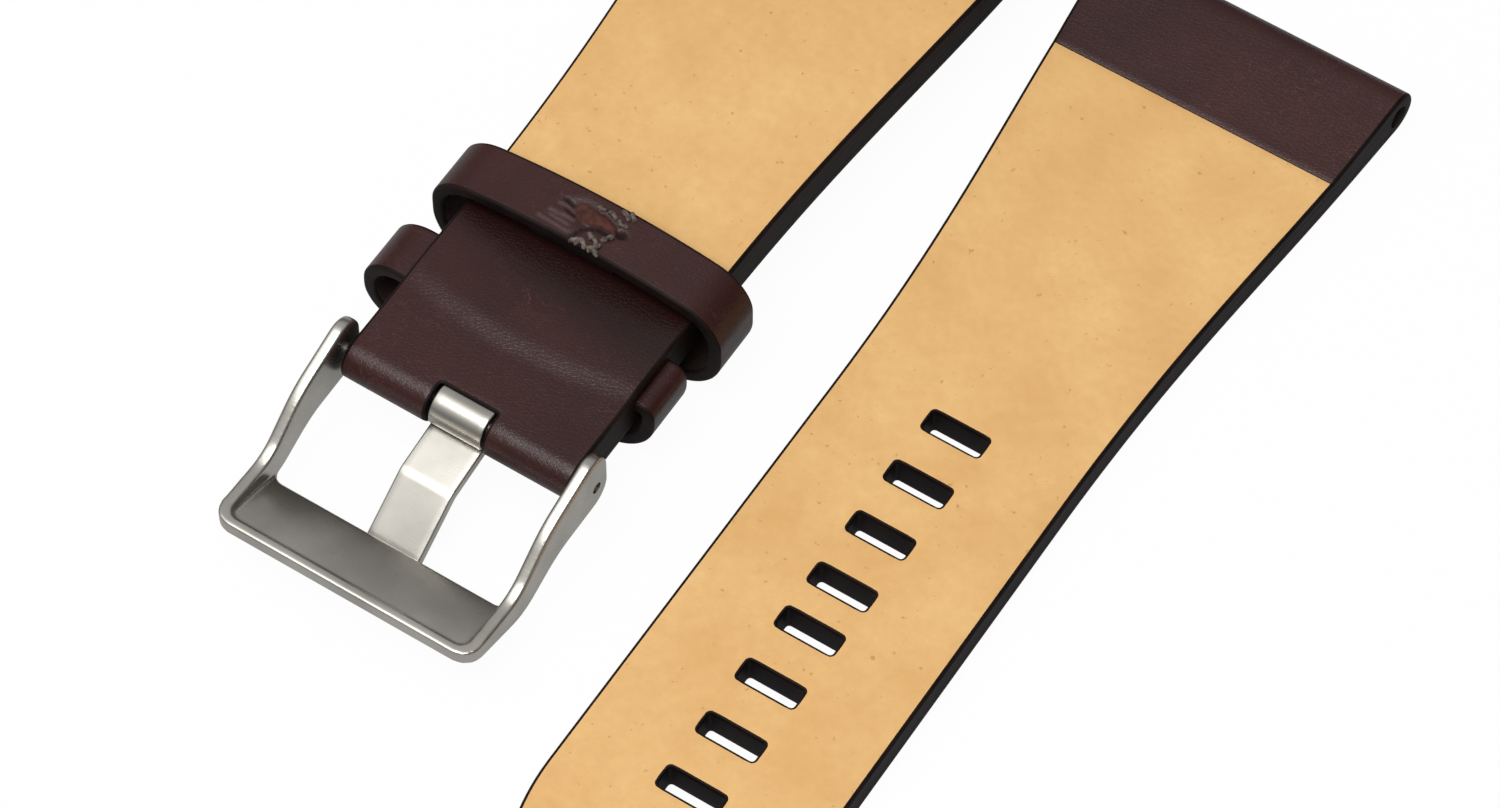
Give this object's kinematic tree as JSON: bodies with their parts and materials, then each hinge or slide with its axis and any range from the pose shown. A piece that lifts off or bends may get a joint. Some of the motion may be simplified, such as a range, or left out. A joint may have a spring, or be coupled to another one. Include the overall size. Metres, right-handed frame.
{
  "type": "leather watch strap",
  "caption": "Two-piece flared leather watch strap with a pin buckle, a fixed and a sliding keeper and slotted tail, laid out back side up.",
  "frame": {"origin": "centre of the spring-bar tunnel in the lug end of the long half", "axes": "+X along that tunnel, across the strap; +Y along the strap, towards the watch case; +Z from the strap's front, which lies down, to its lined back"},
  "size_m": [0.0686, 0.1215, 0.0134],
  "materials": {
    "outer_leather": "smooth dark brown, satin",
    "lining_leather": "undyed tan, matt",
    "filler_board": "pressed board with dark painted edges",
    "thread": "waxed thread",
    "buckle_steel": "satin brushed",
    "bar_steel": "turned"
  },
  "bodies": {
    "hole_half": {"hole_half_outer": "outer_leather", "hole_half_filler": "filler_board", "hole_half_lining": "lining_leather"},
    "buckle_half": {"buckle_half_outer": "outer_leather", "buckle_half_filler": "filler_board", "buckle_half_lining": "lining_leather", "fixed_keeper": "outer_leather"},
    "sliding_loop": {"sliding_keeper": "outer_leather", "keeper_stitches": "thread"},
    "buckle": {"buckle_frame": "buckle_steel"},
    "tongue": {"buckle_tongue": "buckle_steel"},
    "spring_bar": {"spring_bar_barrel": "bar_steel", "spring_bar_spring": "bar_steel"},
    "left_plunger": {"spring_bar_left_plunger": "bar_steel"},
    "right_plunger": {"spring_bar_right_plunger": "bar_steel"}
  },
  "joints": [
    {"name": "buckle_half_lift", "type": "slide", "parent": "hole_half", "child": "buckle_half", "axis": [0, 0, 1], "range_m": [0, 0.05]},
    {"name": "keeper_slide", "type": "slide", "parent": "buckle_half", "child": "sliding_loop", "axis": [0, 1, 0], "range_m": [-0.0028, 0.016]},
    {"name": "buckle_turn", "type": "hinge", "parent": "buckle_half", "child": "buckle", "pos_m": [-0.0358, -0.0762, 0.0054], "axis": [1, 0, 0], "range_deg": [-90, 15]},
    {"name": "tongue_turn", "type": "hinge", "parent": "buckle", "child": "tongue", "pos_m": [-0.0358, -0.0762, 0.0054], "axis": [1, 0, 0], "range_deg": [0, 75]},
    {"name": "bar_spin", "type": "hinge", "parent": "buckle", "child": "spring_bar", "pos_m": [-0.0358, -0.0762, 0.0054], "axis": [1, 0, 0], "continuous": true},
    {"name": "left_plunger_press", "type": "slide", "parent": "spring_bar", "child": "left_plunger", "axis": [1, 0, 0], "range_m": [0, 0.00105], "stiffness_N_per_m": 500, "springref_m": -0.001, "deforming": ["spring_bar_spring"]},
    {"name": "right_plunger_press", "type": "slide", "parent": "spring_bar", "child": "right_plunger", "axis": [-1, 0, 0], "range_m": [0, 0.00105], "stiffness_N_per_m": 500, "springref_m": -0.001, "deforming": ["spring_bar_spring"]}
  ]
}
